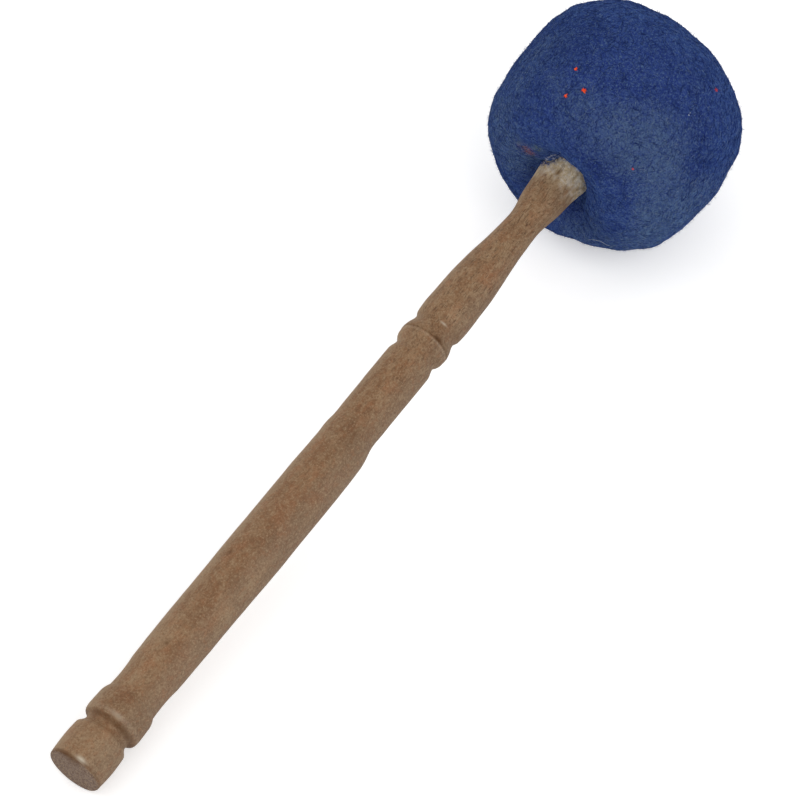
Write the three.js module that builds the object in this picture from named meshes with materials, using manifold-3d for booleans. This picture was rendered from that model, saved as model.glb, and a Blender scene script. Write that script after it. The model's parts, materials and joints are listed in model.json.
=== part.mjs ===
// Singing bowl mallet: a hardwood handle turned in one piece, its tenon glued into a ball of felted wool.
// Millimetres, +Z up. Every piece is shaped about the handle's axis, the local Y axis, with station 0
// at the butt. The finished mallet lies on the ground as it does on a table, on its knob and its ball,
// with its butt towards -X and its head towards +X.
import * as THREE from 'three';
import { mergeVertices } from 'three/addons/utils/BufferGeometryUtils.js';
import Module from 'manifold-3d';

// Knob at the butt
const buttFaceRadius = 7.95;
const knobButtRadius = 8.6;
const knobCrownRadius = 8.82;
const knobEndRadius = 8.5;
const buttArrisLength = 0.9;
const knobLength = 11.1;

// Deep groove between the knob and the collar
const deepGrooveRadius = 6.97;
const knobRollLength = 2.95;
const collarRiseLength = 1.95;

// Collar
const collarEdgeRadius = 8.6;
const collarCrestRadius = 8.95;
const collarEndRadius = 8.8;
const collarCrestLength = 2.1;
const collarLandLength = 4.3;
const collarRollLength = 3.4;

// Grip
const coveEndRadius = 7.8;
const coveRadius = 7.62;
const gripButtRadius = 8;
const gripSwellRadius = 8.65;
const gripHeadRadius = 8.2;
const gripNeckRadius = 7.5;
const coveLength = 11.5;
const gripSwellLength = 92;
const gripTaperLength = 17;
const gripNeckLength = 17.4;

// Double bead with a fine line cut between its halves
const notchRadius = 6.95;
const beadRadius = 8.05;
const beadLineRadius = 7.5;
const notchLength = 3;
const beadRiseLength = 3.8;
const beadCrestLength = 1.6;
const beadLineHalfLength = 0.45;
const beadFallLength = 5.1;

// Vase-shaped neck, its waist, and the flared lip that goes into the felt
const vaseArrisRadius = 7.75;
const vaseBellyRadius = 8;
const neckWaistRadius = 5.6;
const lipRadius = 8.2;
const vaseArrisLength = 2.4;
const vaseBellyLength = 5.1;
const vaseFallLength = 34.7;
const flareLength = 30;

// Tenon inside the ball, with rings cut round it to key the glue
const tenonRadius = 5.2;
const tenonLength = 32;
const tenonTipChamfer = 1.2;
const keyRingCount = 3;
const keyRingWidth = 2;
const keyRingDepth = 0.7;

// Felt ball: a squarish body of revolution, drawn in round the neck like an apple round its stem. The
// hollows' depths are what they would be on the axis, where the bore takes them away. A hollow with a
// steepness of 2 fades away gently, and more gives it a flatter floor and a steeper side.
const headRadius = 37.7;
const headNearLength = 35.7;
const headFarLength = 34.2;
const headSquareness = 2.4;
const headLean = THREE.MathUtils.degToRad(6.8);
const lipInFelt = 2.5;
const mouthToCentre = 25;
const stemHollowRadius = 17;
const stemHollowSteepness = 3;
const stemHollowDepth = 11.5;
const coreHollowDepth = 9.5;
const coverThickness = 8;
const floorFlat = 0.5;

// Glue round the tenon, and the crust squeezed out round the lip
const glueThickness = 0.6;
const crustThickness = 0.5;
const crustLength = 4.5;

// Clearances
const fitGap = 0.3;
const layerGap = 0.5;
const cutOverrun = 5;

// Facets
const turnedSides = 32;
const coverSides = 48;
const coreSides = 32;
const shortSteps = 4;
const rollSteps = 6;
const longSteps = 8;
const coverRings = 28;
const coreRings = 16;
const settlePasses = 6;

// Where a curve is pulled out, as a share of its length, and how long a double curve runs straight
const middleShare = 0.5;
const rollStartShare = 0.18;
const rollEndShare = 0.5;
const risePullShare = 0.4;
const edgePullShare = 0.25;
const collarRollPullShare = 0.5;
const notchCurveShare = 0.4;
const bellyPullShare = 0.45;
const taperEndShare = 0.45;
const vaseStartShare = 0.55;
const vaseEndShare = 0.28;
const flareStartShare = 0.15;
const flareEndShare = 0.2;
const flareEndRiseShare = 0.46;

const woodMaterial = new THREE.MeshStandardMaterial({ color: 0x8b6f55, roughness: 0.66, metalness: 0 });
const feltMaterial = new THREE.MeshStandardMaterial({ color: 0x2d3c6b, roughness: 0.96, metalness: 0 });
const coreMaterial = new THREE.MeshStandardMaterial({ color: 0xb9ada0, roughness: 0.96, metalness: 0 });
const glueMaterial = new THREE.MeshStandardMaterial({ color: 0xa89c86, roughness: 0.5, metalness: 0 });

const wasm = await Module();
wasm.setup();

// An outline that runs along the axis: x is the radius and y the station.
class Outline {
  constructor(radius, station) {
    this.points = [new THREE.Vector2(radius, station)];
  }

  get end() {
    return this.points.at(-1);
  }

  // The point that lies length further on, at the given radius.
  ahead(radius, length) {
    return new THREE.Vector2(radius, this.end.y + length);
  }

  line(radius, length) {
    this.points.push(this.ahead(radius, length));
  }

  follow(curve, steps) {
    this.points.push(...curve.getPoints(steps).slice(1));
  }

  // A curve that is pulled out to pullRadius at a share of its length.
  pull(radius, length, pullRadius, pullShare) {
    const pulled = this.ahead(pullRadius, length * pullShare);
    this.follow(new THREE.QuadraticBezierCurve(this.end, pulled, this.ahead(radius, length)), shortSteps);
  }

  // A belly or a hollow that passes through crownRadius half way.
  bow(radius, length, crownRadius, steps = shortSteps) {
    const pulled = this.ahead(2 * crownRadius - (this.end.x + radius) / 2, length * middleShare);
    this.follow(new THREE.QuadraticBezierCurve(this.end, pulled, this.ahead(radius, length)), steps);
  }

  // A double curve that starts parallel to the axis and ends on a line from endPullRadius.
  sweep(radius, length, startShare, endShare, steps = longSteps, endPullRadius = radius) {
    const startPull = this.ahead(this.end.x, length * startShare);
    const endPull = this.ahead(endPullRadius, length * (1 - endShare));
    this.follow(new THREE.CubicBezierCurve(this.end, startPull, endPull, this.ahead(radius, length)), steps);
  }

  // A soft step to another radius, parallel to the axis at both ends.
  step(radius, length) {
    this.sweep(radius, length, notchCurveShare, notchCurveShare, rollSteps);
  }
}

function turnKnob(outline) {
  outline.line(buttFaceRadius, 0);
  outline.pull(knobButtRadius, buttArrisLength, knobButtRadius, 0);
  outline.bow(knobEndRadius, knobLength, knobCrownRadius);
  outline.sweep(deepGrooveRadius, knobRollLength, rollStartShare, rollEndShare, rollSteps);
}

function turnCollar(outline) {
  outline.pull(collarEdgeRadius, collarRiseLength, deepGrooveRadius, risePullShare);
  outline.pull(collarCrestRadius, collarCrestLength, collarCrestRadius, edgePullShare);
  outline.line(collarEndRadius, collarLandLength);
  outline.pull(coveEndRadius, collarRollLength, collarEndRadius, collarRollPullShare);
}

function turnGrip(outline) {
  outline.bow(gripButtRadius, coveLength, coveRadius);
  outline.bow(gripHeadRadius, gripSwellLength, gripSwellRadius, longSteps);
  outline.sweep(gripNeckRadius, gripTaperLength, taperEndShare, taperEndShare);
  outline.line(gripNeckRadius, gripNeckLength);
}

function turnDoubleBead(outline) {
  outline.step(notchRadius, notchLength);
  outline.step(beadRadius, beadRiseLength);
  outline.line(beadRadius, beadCrestLength);
  outline.line(beadLineRadius, beadLineHalfLength);
  outline.line(beadRadius, beadLineHalfLength);
  outline.step(notchRadius, beadFallLength);
}

function turnNeck(outline) {
  outline.step(vaseArrisRadius, vaseArrisLength);
  outline.pull(vaseBellyRadius, vaseBellyLength, vaseBellyRadius, bellyPullShare);
  outline.sweep(neckWaistRadius, vaseFallLength, vaseStartShare, vaseEndShare);
  const endPullRadius = THREE.MathUtils.lerp(neckWaistRadius, lipRadius, flareEndRiseShare);
  outline.sweep(lipRadius, flareLength, flareStartShare, flareEndShare, longSteps, endPullRadius);
}

// The key rings are spread evenly along the tenon.
function turnTenon(outline) {
  const landLength = (tenonLength - tenonTipChamfer - keyRingCount * keyRingWidth) / (keyRingCount + 1);
  outline.line(tenonRadius, 0);
  for (let ring = 0; ring < keyRingCount; ring++) {
    outline.line(tenonRadius, landLength);
    outline.bow(tenonRadius, keyRingWidth, tenonRadius - keyRingDepth);
  }
  outline.line(tenonRadius, landLength);
  outline.line(tenonRadius - tenonTipChamfer, tenonTipChamfer);
}

const stick = new Outline(0, 0);
turnKnob(stick);
turnCollar(stick);
turnGrip(stick);
turnDoubleBead(stick);
turnNeck(stick);
const lipStation = stick.end.y;
const lipIndex = stick.points.length - 1;
turnTenon(stick);
stick.line(0, 0);

const tipStation = lipStation + tenonLength;
const mouthStation = lipStation - lipInFelt;
const centreStation = mouthStation + mouthToCentre * Math.cos(headLean);
const glueRadius = tenonRadius + fitGap + glueThickness;
const crustRadius = lipRadius + fitGap + crustThickness;
const webStation = lipStation + fitGap + glueThickness;
const glueEndStation = tipStation + fitGap + glueThickness;

// A flat of the facets faces straight up and another straight down.
function revolve(points, sides) {
  return new THREE.LatheGeometry(points, sides, Math.PI / sides);
}

// The outline of the flared lip from the given station up to its rim, the rim left out.
function lipPointsFrom(station) {
  const next = stick.points.findIndex((point) => point.y > station);
  const [before, after] = stick.points.slice(next - 1, next + 1);
  const radius = THREE.MathUtils.mapLinear(station, before.y, after.y, before.x, after.x);
  return [new THREE.Vector2(radius, station), ...stick.points.slice(next, lipIndex)];
}

// The dried glue is one cast: a sleeve with an end round the tenon, a web under the lip's shoulder and
// a crust outside the lip. Its inside follows the wood, key rings included.
function castGlue() {
  const lip = lipPointsFrom(mouthStation - crustLength);
  const tenon = stick.points.slice(lipIndex + 2, -2);
  const widen = (point, growth) => new THREE.Vector2(point.x + growth, point.y);
  const inside = [
    new THREE.Vector2(0, tipStation + fitGap),
    new THREE.Vector2(tenonRadius - tenonTipChamfer + fitGap, tipStation + fitGap),
    ...tenon.map((point) => widen(point, fitGap)).reverse(),
    new THREE.Vector2(tenonRadius + fitGap, lipStation + fitGap),
    new THREE.Vector2(lipRadius + fitGap, lipStation + fitGap),
    ...lip.map((point) => widen(point, fitGap)).reverse(),
  ];
  const outside = [
    ...lip.map((point) => widen(point, fitGap + crustThickness)),
    new THREE.Vector2(crustRadius, lipStation),
    new THREE.Vector2(crustRadius, webStation),
    new THREE.Vector2(glueRadius, webStation),
    new THREE.Vector2(glueRadius, glueEndStation),
    new THREE.Vector2(0, glueEndStation),
  ];
  return revolve([...inside, ...outside], turnedSides);
}

// A bore about the handle's axis, from clear of the mouth down to the given station.
function boreGeometry(radius, endStation) {
  const bore = new Outline(0, mouthStation - cutOverrun);
  bore.line(radius, 0);
  bore.line(radius, endStation - bore.end.y);
  bore.line(0, 0);
  return revolve(bore.points, turnedSides);
}

// The wool's outer form about the ball's own centre. The drawing in fades away from the axis.
function ballOutline(rings, hollowDepth) {
  const power = 2 / headSquareness;
  return Array.from({ length: rings + 1 }, (_, ring) => {
    const angle = Math.PI * (ring / rings - middleShare);
    const radius = ring % rings === 0 ? 0 : headRadius * Math.cos(angle) ** power;
    const along = Math.abs(Math.sin(angle)) ** power;
    const drawnIn = hollowDepth * Math.exp(-((radius / stemHollowRadius) ** stemHollowSteepness));
    return new THREE.Vector2(radius, angle < 0 ? drawnIn - headNearLength * along : headFarLength * along);
  });
}

// The ball's form, smaller all round by the depth, seated on the handle. The ball is bored a little
// askew, so it leans sideways about the middle of its mouth.
function ballGeometry(depth, hollowDepth, rings, sides) {
  const sizeShare = 1 - depth / headRadius;
  return revolve(ballOutline(rings, hollowDepth), sides)
    .scale(sizeShare, sizeShare, sizeShare)
    .translate(0, mouthToCentre, 0)
    .rotateZ(-headLean)
    .translate(0, mouthStation, 0);
}

// How low the handle's turned surface comes when the axis rises at the angle.
function lowestHandlePoint(angle) {
  const flatShare = Math.cos(Math.PI / turnedSides);
  const heights = stick.points.map(({ x, y }) => y * Math.sin(angle) - x * flatShare * Math.cos(angle));
  return Math.min(...heights);
}

// How far the ball reaches from its centre towards the ground when the axis rises at the angle. It
// meets the ground on the half that is nearer to the mouth.
function ballReach(angle) {
  const power = headSquareness / (headSquareness - 1);
  const along = (headNearLength * Math.sin(angle)) ** power;
  const across = (headRadius * Math.cos(angle)) ** power;
  return (along + across) ** (1 / power);
}

// The angle at which the knob and the ball's flat both lie on the ground.
function findLieAngle() {
  let angle = 0;
  for (let pass = 0; pass < settlePasses; pass++) {
    angle = Math.asin((ballReach(angle) - floorFlat + lowestHandlePoint(angle)) / centreStation);
  }
  return angle;
}

const lieAngle = findLieAngle();

// The ground under the ball, as a block in the handle's own frame.
function groundGeometry() {
  const width = 2 * (headRadius + cutOverrun);
  return new THREE.BoxGeometry(width, width, width)
    .translate(0, centreStation, lowestHandlePoint(lieAngle) - width / 2)
    .rotateX(-lieAngle);
}

function toSolid(geometry) {
  geometry.deleteAttribute('normal');
  geometry.deleteAttribute('uv');
  const merged = mergeVertices(geometry);
  const corners = Array.from(merged.index.array);
  const triVerts = [];
  for (let i = 0; i < corners.length; i += 3) {
    const triangle = corners.slice(i, i + 3);
    if (new Set(triangle).size === 3) triVerts.push(...triangle);
  }
  return new wasm.Manifold(new wasm.Mesh({
    numProp: 3,
    vertProperties: new Float32Array(merged.attributes.position.array),
    triVerts: new Uint32Array(triVerts),
  }));
}

function toGeometry(solid) {
  const { vertProperties, triVerts } = solid.getMesh();
  const geometry = new THREE.BufferGeometry();
  geometry.setAttribute('position', new THREE.BufferAttribute(vertProperties, 3));
  geometry.setIndex(new THREE.BufferAttribute(triVerts, 1));
  return geometry;
}

// The blue layer: a shell round the core, open at the mouth and pressed flat where it lies.
function feltCover() {
  const outside = toSolid(ballGeometry(0, stemHollowDepth, coverRings, coverSides));
  const inside = toSolid(ballGeometry(coverThickness - layerGap, coreHollowDepth, coreRings, coreSides));
  const mouth = toSolid(boreGeometry(crustRadius + fitGap, centreStation));
  const ground = toSolid(groundGeometry());
  return toGeometry(outside.subtract(inside).subtract(mouth).subtract(ground));
}

// The core: it seats the glue's web and holds the tenon in its bore.
function feltCore() {
  const ball = toSolid(ballGeometry(coverThickness, coreHollowDepth, coreRings, coreSides));
  const seat = toSolid(boreGeometry(crustRadius + fitGap, webStation + fitGap));
  const socket = toSolid(boreGeometry(glueRadius + fitGap, glueEndStation + fitGap));
  return toGeometry(ball.subtract(seat).subtract(socket));
}

const mallet = new THREE.Group();

function addPiece(name, geometry, material) {
  const mesh = new THREE.Mesh(geometry, material);
  mesh.name = name;
  mallet.add(mesh);
}

addPiece('handle', revolve(stick.points, turnedSides), woodMaterial);
addPiece('dried_glue', castGlue(), glueMaterial);
addPiece('felt_core', feltCore(), coreMaterial);
addPiece('felt_cover', feltCover(), feltMaterial);

// The handle's axis turns from local Y towards +X and rises to the lie angle. The origin is then set
// under the middle of the mallet, on the ground.
mallet.rotation.set(0, -lieAngle, -Math.PI / 2);
const box = new THREE.Box3().setFromObject(mallet, true);
const middle = box.getCenter(new THREE.Vector3());
mallet.position.set(-middle.x, -middle.y, -box.min.z);

const group = new THREE.Group();
group.add(mallet);

export default group;
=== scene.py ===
"""Singing bowl mallet: the looks of a turned hardwood handle glued into a ball of felted blue wool.

Metres, +Z up. The mallet lies as it does on a table, its butt towards -X and its head towards +X.
"""
import bisect
import json
import math
import random

import bmesh
import bpy
from bpy.props import FloatProperty, FloatVectorProperty, IntProperty, PointerProperty
from mathutils import Matrix, Vector, noise
from mathutils.bvhtree import BVHTree
from mathutils.geometry import interpolate_bezier


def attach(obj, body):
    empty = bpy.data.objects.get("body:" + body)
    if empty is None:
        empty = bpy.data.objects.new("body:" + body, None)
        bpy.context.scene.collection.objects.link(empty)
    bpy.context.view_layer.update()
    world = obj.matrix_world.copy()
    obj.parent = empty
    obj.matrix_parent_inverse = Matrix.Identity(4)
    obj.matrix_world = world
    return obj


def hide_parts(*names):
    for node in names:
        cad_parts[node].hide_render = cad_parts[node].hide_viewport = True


bl_info = {
    "name": "Singing bowl mallet",
    "version": (1, 0, 0),
    "blender": (4, 5, 0),
    "location": "View3D > Sidebar > Mallet",
    "description": "Models a felt-headed singing bowl mallet and the studio that it lies in",
    "category": "Object",
}

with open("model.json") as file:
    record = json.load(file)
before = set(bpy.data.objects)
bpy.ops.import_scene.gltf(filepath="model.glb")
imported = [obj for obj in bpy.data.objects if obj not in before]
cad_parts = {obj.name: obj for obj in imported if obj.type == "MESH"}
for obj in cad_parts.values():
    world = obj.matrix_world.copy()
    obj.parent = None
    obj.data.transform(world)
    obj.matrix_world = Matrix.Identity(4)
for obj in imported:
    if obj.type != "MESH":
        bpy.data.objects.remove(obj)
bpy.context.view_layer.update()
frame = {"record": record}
mounts = {mount["name"]: mount for mount in frame["record"]["mounts"]}

MM = 0.001
FULL_TURN = 2 * math.pi


def in_metres(*rows):
    """Rows of lengths in millimetres turned into metres."""
    return tuple(tuple(length * MM for length in row) for row in rows)


def linear(*levels):
    """The scene's linear colour for one written in 0 to 255."""
    shares = [level / 255 for level in levels]
    return tuple(s / 12.92 if s <= 0.04045 else ((s + 0.055) / 1.055) ** 2.4 for s in shares)


def amount(name, description, default, **rest):
    return FloatProperty(name=name, description=description, default=default, **rest)


def size(name, description, millimetres):
    return amount(name, description, millimetres * MM, min=0, unit="LENGTH", precision=5)


def colour(name, description, default):
    return FloatVectorProperty(
        name=name, description=description, default=linear(*default), min=0, max=1, subtype="COLOR"
    )


def count(name, description, default):
    return IntProperty(name=name, description=description, default=default, min=1)


# What a user would change

class HandleSizes(bpy.types.PropertyGroup):
    butt_face_radius: size("Butt face radius", "Radius of the flat end face", 7.95)
    knob_butt_radius: size("Knob butt radius", "Radius of the knob beside its arris", 8.6)
    knob_crown_radius: size("Knob crown radius", "Largest radius of the knob", 8.82)
    knob_end_radius: size("Knob end radius", "Radius where the knob rolls over", 8.5)
    butt_arris_length: size("Butt arris length", "Length of the rounded arris", 0.9)
    knob_length: size("Knob length", "Length of the knob's belly", 11.1)
    deep_groove_radius: size("Deep groove radius", "Radius of the wood in the deep groove", 6.97)
    knob_roll_length: size("Knob roll length", "Length of the knob's roll into the groove", 2.95)
    collar_rise_length: size("Collar rise length", "Length of the rise to the collar", 1.95)
    collar_edge_radius: size("Collar edge radius", "Radius of the collar's near edge", 8.6)
    collar_crest_radius: size("Collar crest radius", "Largest radius of the collar", 8.95)
    collar_end_radius: size("Collar end radius", "Radius of the collar's far edge", 8.8)
    collar_crest_length: size("Collar crest length", "Length of the collar up to its crest", 2.1)
    collar_land_length: size("Collar land length", "Length of the collar past its crest", 4.3)
    collar_roll_length: size("Collar roll length", "Length of the collar's roll to the cove", 3.4)
    cove_end_radius: size("Cove end radius", "Radius where the cove starts", 7.8)
    cove_radius: size("Cove radius", "Smallest radius of the cove", 7.62)
    grip_butt_radius: size("Grip butt radius", "Radius where the grip starts", 8)
    grip_swell_radius: size("Grip swell radius", "Largest radius of the grip", 8.65)
    grip_head_radius: size("Grip head radius", "Radius where the grip's taper starts", 8.2)
    grip_neck_radius: size("Grip neck radius", "Radius of the grip before the bead", 7.5)
    cove_length: size("Cove length", "Length of the cove", 11.5)
    grip_swell_length: size("Grip swell length", "Length of the swelling part of the grip", 92)
    grip_taper_length: size("Grip taper length", "Length of the grip's taper", 17)
    grip_neck_length: size("Grip neck length", "Length of the grip's straight end", 17.4)
    notch_radius: size("Notch radius", "Radius in the notch on each side of the bead", 6.95)
    bead_radius: size("Bead radius", "Largest radius of the double bead", 8.05)
    bead_line_radius: size("Bead line radius", "Radius in the fine line of the bead", 7.5)
    notch_length: size("Notch length", "Length of the step into the near notch", 3)
    bead_rise_length: size("Bead rise length", "Length of the rise to the bead's crest", 3.8)
    bead_crest_length: size("Bead crest length", "Length of the crest up to the line", 1.6)
    bead_line_half_length: size("Bead line half length", "Half the width of the line", 0.45)
    bead_fall_length: size("Bead fall length", "Length of the fall to the far notch", 5.1)
    vase_arris_radius: size("Vase arris radius", "Radius of the arris before the vase", 7.75)
    vase_belly_radius: size("Vase belly radius", "Largest radius of the vase", 8)
    neck_waist_radius: size("Neck waist radius", "Smallest radius of the neck", 5.6)
    lip_radius: size("Lip radius", "Radius of the lip that meets the felt", 8.2)
    vase_arris_length: size("Vase arris length", "Length of the arris", 2.4)
    vase_belly_length: size("Vase belly length", "Length up to the vase's belly", 5.1)
    vase_fall_length: size("Vase fall length", "Length of the fall to the waist", 34.7)
    flare_length: size("Flare length", "Length of the flare up to the lip", 30)
    tenon_radius: size("Tenon radius", "Radius of the tenon inside the ball", 5.2)
    tenon_length: size("Tenon length", "Length of the tenon", 32)
    tenon_tip_chamfer: size("Tenon tip chamfer", "Chamfer on the tenon's tip", 1.2)
    key_ring_count: count("Key rings", "Rings cut round the tenon to key the glue", 3)
    key_ring_width: size("Key ring width", "Width of a key ring", 2)
    key_ring_depth: size("Key ring depth", "Depth of a key ring", 0.7)


class HeadSizes(bpy.types.PropertyGroup):
    radius: size("Radius", "Radius of the ball across the handle's axis", 37.7)
    near_length: size("Near length", "From the ball's middle to its near pole", 35.7)
    far_length: size("Far length", "From the ball's middle to its far pole", 34.2)
    squareness: amount("Squareness", "2 is a true ball, more is squarer", 2.4, min=1.5)
    lean: amount("Lean", "How far the ball leans sideways", math.radians(6.8), subtype="ANGLE")
    lip_in_felt: size("Lip in felt", "How far the lip goes into the mouth", 2.5)
    mouth_to_centre: size("Mouth to centre", "From the mouth to the ball's middle", 25)
    stem_hollow_radius: size("Stem hollow radius", "How wide the wool is drawn in", 17)
    stem_hollow_steepness: amount(
        "Stem hollow steepness", "2 fades away gently, more is steeper", 3, min=1
    )
    stem_hollow_depth: size("Stem hollow depth", "How deep the wool is drawn in", 11.5)
    core_hollow_depth: size("Core hollow depth", "How deep the core is drawn in", 9.5)
    cover_thickness: size("Cover thickness", "Thickness of the dyed layer", 8)
    layer_gap: size("Layer gap", "Gap between the dyed layer and the core", 0.5)
    fit_gap: size("Fit gap", "Gap between the pieces inside", 0.3)


class GlueSizes(bpy.types.PropertyGroup):
    thickness: size("Thickness", "Thickness of the glue round the tenon", 0.6)
    crust_thickness: size("Crust thickness", "Most thickness of the crust on the lip", 0.22)
    crust_length: size("Crust length", "How far the crust reaches down the lip", 4.5)


class MalletColours(bpy.types.PropertyGroup):
    wood: colour("Wood", "The turned wood", (134, 103, 73))
    wood_shade: colour("Wood shade", "Darker clouds of the wood", (120, 85, 55))
    wood_dark: colour("Dark wood", "Streaks and pores of the wood", (88, 60, 37))
    wood_pale: colour("Pale wood", "Pale places of the wood", (158, 134, 104))
    wood_red: colour("Reddish wood", "Warm places of the wood", (142, 94, 60))
    # Painted shade: this grey darkens the stick's +X side, the lower right as the camera sees it.
    shaded_side_grey: colour("Grey wood", "The greyed side of the wood", (121, 102, 83))
    # Partly grime, partly painted shade in the grooves and along the arrises.
    grime_and_shade: colour("Grime", "What has gathered in the grooves", (86, 54, 22))
    # Also the colour of the painted highlights on the collar, past the bead and on the butt's arris.
    rubbed_and_highlight: colour("Rubbed wood", "Edges that the hand has rubbed pale", (200, 188, 168))
    end_grain: colour("End grain", "The butt's end face", (124, 106, 95))
    glue: colour("Glue", "The dried glue", (232, 222, 203))
    glue_stain: colour("Glue stain", "Wood that glue has soaked into", (210, 189, 153))
    felt: colour("Felt", "The dyed wool", (40, 59, 122))
    felt_dark: colour("Dark felt", "The darkest of the dyed wool", (26, 41, 102))
    # Also the colour of the painted light on the ball's middle, left and lower right.
    felt_pale: colour("Pale felt", "Worn and paler patches of the wool", (77, 98, 132))
    core: colour("Core wool", "The undyed wool inside", (185, 173, 160))
    red_wool: colour("Red wool", "The flecks of red wool", (255, 62, 24))
    rust_wool: colour("Rust wool", "The rusty smudge beside the mouth", (143, 93, 83))
    olive_wool: colour("Olive wool", "The olive smudge beside the mouth", (88, 100, 86))


class StudioSettings(bpy.types.PropertyGroup):
    sky: amount("Sky", "Strength of the even light from all round", 0.75, min=0)
    lamp: amount("Lamp", "Power of the soft lamp", 4.8, min=0, unit="POWER")
    fill: amount("Fill", "Power of the weaker lamp on the other side", 2.8, min=0, unit="POWER")
    floor: colour("Floor", "The pale floor", (250, 250, 250))


class MalletSettings(bpy.types.PropertyGroup):
    handle: PointerProperty(type=HandleSizes)
    head: PointerProperty(type=HeadSizes)
    glue: PointerProperty(type=GlueSizes)
    colours: PointerProperty(type=MalletColours)
    studio: PointerProperty(type=StudioSettings)


# The photograph's camera, from the ovals of the handle's turned rings

IMAGE_SIDE = 800
FOCAL_PIXELS = 4000
SENSOR_WIDTH = 36
VIEW_TURN = math.radians(54.999)
VIEW_DROP = math.radians(50.92)
BUTT_PIXEL = (73.67, 771.56)
BUTT_DEPTH = 1123.9 * MM

view_right = Vector((math.cos(VIEW_TURN), -math.sin(VIEW_TURN), 0))
view_forward = Vector((
    math.sin(VIEW_TURN) * math.cos(VIEW_DROP),
    math.cos(VIEW_TURN) * math.cos(VIEW_DROP),
    -math.sin(VIEW_DROP),
))
view_up = view_right.cross(view_forward)


def pixel_ray(pixel):
    """From the camera through a pixel of the photograph, one metre deep."""
    across = (pixel[0] - IMAGE_SIDE / 2) / FOCAL_PIXELS
    rise = (IMAGE_SIDE / 2 - pixel[1]) / FOCAL_PIXELS
    return view_right * across + view_up * rise + view_forward


# The handle's own frame: Y along the stick from the butt, Z up

butt_centre = Vector(mounts["butt_face"]["pos_m"])
stick_axis = -Vector(mounts["butt_face"]["axis"]).normalized()
stick_side = stick_axis.cross(Vector((0, 0, 1))).normalized()
stick_turn = Matrix((stick_side, stick_axis, stick_side.cross(stick_axis))).transposed()
stick_place = Matrix.Translation(butt_centre) @ stick_turn.to_4x4()
camera_place = butt_centre - BUTT_DEPTH * pixel_ray(BUTT_PIXEL)


# Outlines of the turning

QUADRATIC_SHARE = 2 / 3
MIDDLE_SHARE = 0.5
ROLL_START_SHARE = 0.18
ROLL_END_SHARE = 0.5
RISE_PULL_SHARE = 0.4
EDGE_PULL_SHARE = 0.25
COLLAR_ROLL_PULL_SHARE = 0.5
NOTCH_CURVE_SHARE = 0.4
BELLY_PULL_SHARE = 0.45
TAPER_END_SHARE = 0.45
VASE_START_SHARE = 0.55
VASE_END_SHARE = 0.28
FLARE_START_SHARE = 0.15
FLARE_END_SHARE = 0.2
FLARE_END_RISE_SHARE = 0.46
FINE_STEP = 0.32 * MM
GRIP_STEP = 0.9 * MM
NECK_STEP = 0.6 * MM
TENON_STEP = 3 * MM
FEWEST_STEPS = 3


class Outline:
    """An outline along the stick's axis, each point a radius and a station."""

    def __init__(self, step):
        self.step = step
        self.points = [Vector((0, 0))]
        self.marks = {}

    @property
    def end(self):
        return self.points[-1]

    def ahead(self, radius, length):
        return Vector((radius, self.end.y + length))

    def mark(self, name):
        """Remembers the station that the outline has come to."""
        self.marks[name] = self.end.y

    def radius_at(self, station):
        index = bisect.bisect_left(self.points, station, key=lambda point: point.y)
        before, after = self.points[index - 1 : index + 1]
        return before.lerp(after, (station - before.y) / (after.y - before.y)).x

    def follow(self, first_handle, second_handle, end):
        steps = max(FEWEST_STEPS, round((end - self.end).length / self.step))
        self.points += interpolate_bezier(self.end, first_handle, second_handle, end, steps + 1)[1:]

    def line(self, radius, length):
        end = self.ahead(radius, length)
        self.follow(self.end.lerp(end, 1 / 3), self.end.lerp(end, 2 / 3), end)

    def pull(self, radius, length, pull_radius, pull_share):
        """A curve that is pulled out to pull_radius at a share of its length."""
        pulled = self.ahead(pull_radius, length * pull_share)
        end = self.ahead(radius, length)
        self.follow(self.end.lerp(pulled, QUADRATIC_SHARE), end.lerp(pulled, QUADRATIC_SHARE), end)

    def bow(self, radius, length, crown_radius):
        """A belly or a hollow that passes through crown_radius half way."""
        self.pull(radius, length, 2 * crown_radius - (self.end.x + radius) / 2, MIDDLE_SHARE)

    def sweep(self, radius, length, start_share, end_share, end_pull_radius=None):
        """A double curve that starts parallel to the axis."""
        start_pull = self.ahead(self.end.x, length * start_share)
        end_pull = self.ahead(end_pull_radius or radius, length * (1 - end_share))
        self.follow(start_pull, end_pull, self.ahead(radius, length))

    def soft_step(self, radius, length):
        """A step to another radius, parallel to the axis at both ends."""
        self.sweep(radius, length, NOTCH_CURVE_SHARE, NOTCH_CURVE_SHARE)


def turn_knob(outline, sizes):
    outline.line(sizes.butt_face_radius, 0)
    outline.pull(sizes.knob_butt_radius, sizes.butt_arris_length, sizes.knob_butt_radius, 0)
    outline.mark("butt_arris")
    outline.bow(sizes.knob_end_radius, sizes.knob_length, sizes.knob_crown_radius)
    outline.sweep(sizes.deep_groove_radius, sizes.knob_roll_length, ROLL_START_SHARE, ROLL_END_SHARE)


def turn_collar(outline, sizes):
    groove, crest, end = sizes.deep_groove_radius, sizes.collar_crest_radius, sizes.collar_end_radius
    outline.pull(sizes.collar_edge_radius, sizes.collar_rise_length, groove, RISE_PULL_SHARE)
    outline.mark("collar_edge")
    outline.pull(crest, sizes.collar_crest_length, crest, EDGE_PULL_SHARE)
    outline.line(end, sizes.collar_land_length)
    outline.pull(sizes.cove_end_radius, sizes.collar_roll_length, end, COLLAR_ROLL_PULL_SHARE)


def turn_grip(outline, sizes):
    neck = sizes.grip_neck_radius
    outline.bow(sizes.grip_butt_radius, sizes.cove_length, sizes.cove_radius)
    outline.bow(sizes.grip_head_radius, sizes.grip_swell_length, sizes.grip_swell_radius)
    outline.sweep(neck, sizes.grip_taper_length, TAPER_END_SHARE, TAPER_END_SHARE)
    outline.line(neck, sizes.grip_neck_length)


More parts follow.
